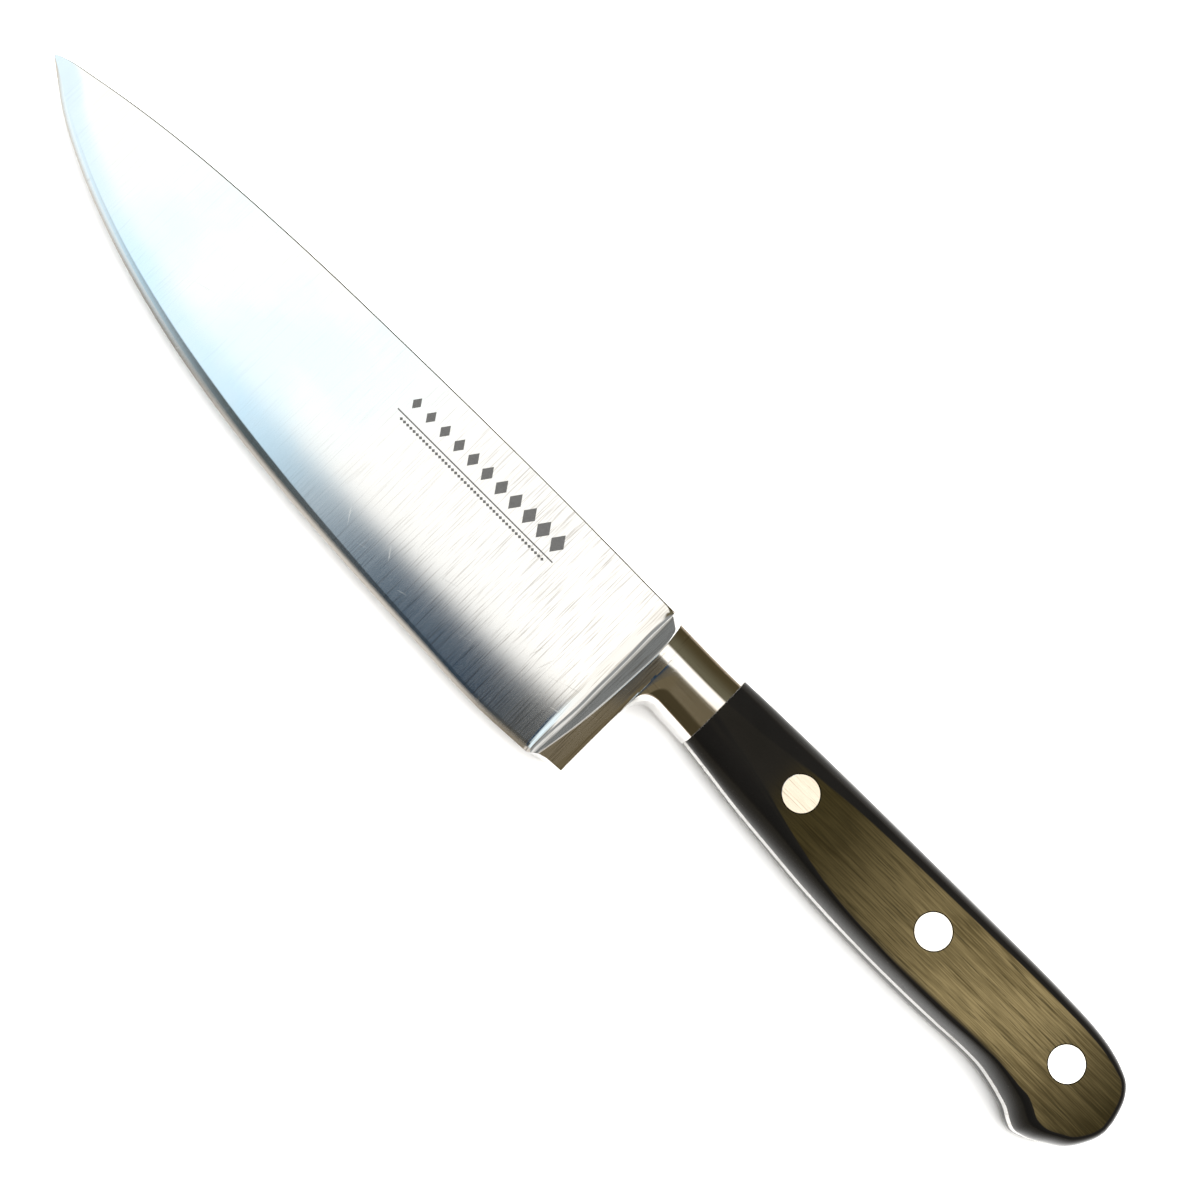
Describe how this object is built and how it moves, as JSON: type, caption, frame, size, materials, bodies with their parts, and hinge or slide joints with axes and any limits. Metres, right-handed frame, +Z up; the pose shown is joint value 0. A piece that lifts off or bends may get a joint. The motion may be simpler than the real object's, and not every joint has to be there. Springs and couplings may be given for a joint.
{
  "type": "chef knife",
  "caption": "Forged chef knife with full bolster, full tang and black riveted handle scales, lying on its flank.",
  "frame": {"origin": "centre of the bounding box's bottom face: the knife lies on its right flank, and the lower handle scale's flat flank is at z = 0", "axes": "+X from the blade's tip towards the butt of the handle, +Y towards the spine, +Z up, out of the left flank"},
  "size_m": [0.2682, 0.038, 0.017],
  "materials": {
    "forged_steel": "fine satin grinding from spine to edge, polished bolster",
    "black_acetal": "satin black, slightly warm",
    "rivet_steel": "fine satin, ground flush"
  },
  "bodies": {
    "root": {"forged_blade": "forged_steel", "scale_left": "black_acetal", "scale_right": "black_acetal", "rivet_front_male": "rivet_steel", "rivet_front_female": "rivet_steel", "rivet_middle_male": "rivet_steel", "rivet_middle_female": "rivet_steel", "rivet_rear_male": "rivet_steel", "rivet_rear_female": "rivet_steel"}
  },
  "joints": []
}
